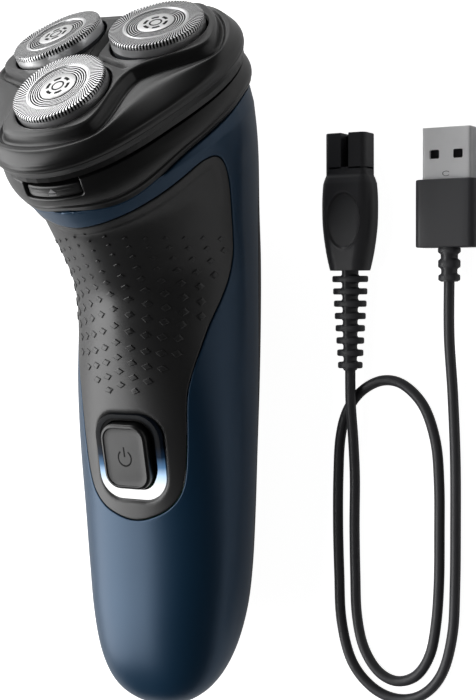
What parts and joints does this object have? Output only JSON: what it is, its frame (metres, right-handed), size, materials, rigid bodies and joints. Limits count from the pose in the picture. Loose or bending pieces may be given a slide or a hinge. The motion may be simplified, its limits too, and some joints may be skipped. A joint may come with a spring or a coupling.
{
  "type": "electric rotary shaver with charging lead",
  "caption": "Handheld electric rotary shaver with a leaning flip-top unit of round sprung heads, power button with light ring, soft grip and a detached charging lead.",
  "frame": {"origin": "bottom centre of the shaver's own bounding box as it lies on its back, measured without the free charging lead", "axes": "+X to the shaver's right seen from the front, +Y along the handle from the foot to the head, +Z out of the front of the handle"},
  "size_m": [0.1085, 0.1708, 0.0748],
  "materials": {
    "shell_paint": "metallic dark blue, satin gloss",
    "back_plastic": "fine matte",
    "grip_rubber": "satin soft-touch with raised diamonds",
    "ring_light": "translucent, lit",
    "satin_black": "satin",
    "inner_plastic": "moulded",
    "board_green": "lacquered board",
    "battery_wrap": "shrink-wrapped steel can",
    "contact_brass": "plated",
    "frame_white": "moulded",
    "gear_white": "acetal",
    "cutter_steel": "ground",
    "cap_steel": "fine ground, slotted",
    "cap_bright": "polished",
    "lead_black": "moulded, matte"
  },
  "bodies": {
    "root": {"front_shell": "shell_paint", "back_cover": "back_plastic", "front_grip": "grip_rubber", "light_ring": "ring_light", "tact_switch": "inner_plastic", "circuit_board": "board_green", "ring_lights": "ring_light", "inner_frame": "inner_plastic", "battery": "battery_wrap", "battery_tabs": "contact_brass", "inlet_socket": "inner_plastic", "inlet_pins": "contact_brass", "collar": "satin_black", "chamber_floor": "inner_plastic", "gear_plate": "inner_plastic", "gear_plate_screws": "cutter_steel", "motor_can": "cutter_steel", "release_spring": "cutter_steel", "hinge_bracket": "satin_black", "hinge_pin": "cutter_steel", "plug_tip": "lead_black", "plug_body": "lead_black", "plug_relief": "lead_black", "cord": "lead_black", "usb_relief": "lead_black", "usb_overmould": "lead_black", "usb_shell": "cap_bright", "usb_tongue": "lead_black"},
    "power_button": {"power_button": "satin_black"},
    "release_button": {"release_button": "satin_black"},
    "rotor": {"motor_shaft": "cutter_steel", "motor_pinion": "contact_brass"},
    "shaving_unit": {"unit_base": "satin_black", "unit_cover": "satin_black", "retaining_frame": "frame_white", "hinge_arm": "satin_black"},
    "drive_1": {"drive_gear_1": "gear_white", "drive_spindle_1": "cutter_steel"},
    "head_1": {"cap_holder_1": "inner_plastic", "shaving_cap_1": "cap_steel", "cap_centre_1": "cap_bright"},
    "cutter_body_1": {"cutter_1": "cutter_steel"},
    "drive_2": {"drive_gear_2": "gear_white", "drive_spindle_2": "cutter_steel"},
    "head_2": {"cap_holder_2": "inner_plastic", "shaving_cap_2": "cap_steel", "cap_centre_2": "cap_bright"},
    "cutter_body_2": {"cutter_2": "cutter_steel"},
    "drive_3": {"drive_gear_3": "gear_white", "drive_spindle_3": "cutter_steel"},
    "head_3": {"cap_holder_3": "inner_plastic", "shaving_cap_3": "cap_steel", "cap_centre_3": "cap_bright"},
    "cutter_body_3": {"cutter_3": "cutter_steel"}
  },
  "joints": [
    {"name": "power_press", "type": "slide", "parent": "root", "child": "power_button", "axis": [0, 0.2079, -0.9781], "range_m": [0, 0.0008], "stiffness_N_per_m": 800, "springref_m": -0.0008},
    {"name": "release_press", "type": "slide", "parent": "root", "child": "release_button", "axis": [0, 0.6428, -0.766], "range_m": [0, 0.0015], "stiffness_N_per_m": 600, "springref_m": -0.001},
    {"name": "motor_spin", "type": "hinge", "parent": "root", "child": "rotor", "pos_m": [0, 0.05653, 0.03885], "axis": [0, 0.766, 0.6428], "continuous": true},
    {"name": "unit_flip", "type": "hinge", "parent": "root", "child": "shaving_unit", "pos_m": [0, 0.08012, 0.02427], "axis": [-1, 0, 0], "range_deg": [0, 95]},
    {"name": "drive_spin_1", "type": "hinge", "parent": "root", "child": "drive_1", "pos_m": [0, 0.04746, 0.05121], "axis": [0, 0.766, 0.6428], "continuous": true},
    {"name": "head_flex_1", "type": "hinge", "parent": "shaving_unit", "child": "head_1", "pos_m": [0, 0.06755, 0.05483], "axis": [1, 0, 0], "range_deg": [0, 5], "stiffness_Nm_per_rad": 0.3, "springref_deg": -5.73},
    {"name": "cutter_spin_1", "type": "hinge", "parent": "head_1", "child": "cutter_body_1", "pos_m": [0, 0.06097, 0.06315], "axis": [0, 0.6884, 0.7254], "continuous": true},
    {"name": "drive_spin_2", "type": "hinge", "parent": "root", "child": "drive_2", "pos_m": [0.01325, 0.06221, 0.03363], "axis": [0, 0.766, 0.6428], "continuous": true},
    {"name": "head_flex_2", "type": "hinge", "parent": "shaving_unit", "child": "head_2", "pos_m": [0.00447, 0.07252, 0.04891], "axis": [-0.5, 0.5567, -0.6634], "range_deg": [0, 5], "stiffness_Nm_per_rad": 0.3, "springref_deg": -5.73},
    {"name": "cutter_spin_2", "type": "hinge", "parent": "head_2", "child": "cutter_body_2", "pos_m": [0.01365, 0.07616, 0.04504], "axis": [0.098, 0.7975, 0.5953], "continuous": true},
    {"name": "drive_spin_3", "type": "hinge", "parent": "root", "child": "drive_3", "pos_m": [-0.01325, 0.06221, 0.03363], "axis": [0, 0.766, 0.6428], "continuous": true},
    {"name": "head_flex_3", "type": "hinge", "parent": "shaving_unit", "child": "head_3", "pos_m": [-0.00447, 0.07252, 0.04891], "axis": [-0.5, -0.5567, 0.6634], "range_deg": [0, 5], "stiffness_Nm_per_rad": 0.3, "springref_deg": -5.73},
    {"name": "cutter_spin_3", "type": "hinge", "parent": "head_3", "child": "cutter_body_3", "pos_m": [-0.01365, 0.07616, 0.04504], "axis": [-0.098, 0.7975, 0.5953], "continuous": true}
  ],
  "couplings": [
    {"joint": "drive_spin_1", "follows": "motor_spin", "ratio": -0.41667},
    {"joint": "cutter_spin_1", "follows": "motor_spin", "ratio": -0.41667},
    {"joint": "drive_spin_2", "follows": "motor_spin", "ratio": -0.41667},
    {"joint": "cutter_spin_2", "follows": "motor_spin", "ratio": -0.41667},
    {"joint": "drive_spin_3", "follows": "motor_spin", "ratio": -0.41667},
    {"joint": "cutter_spin_3", "follows": "motor_spin", "ratio": -0.41667}
  ]
}
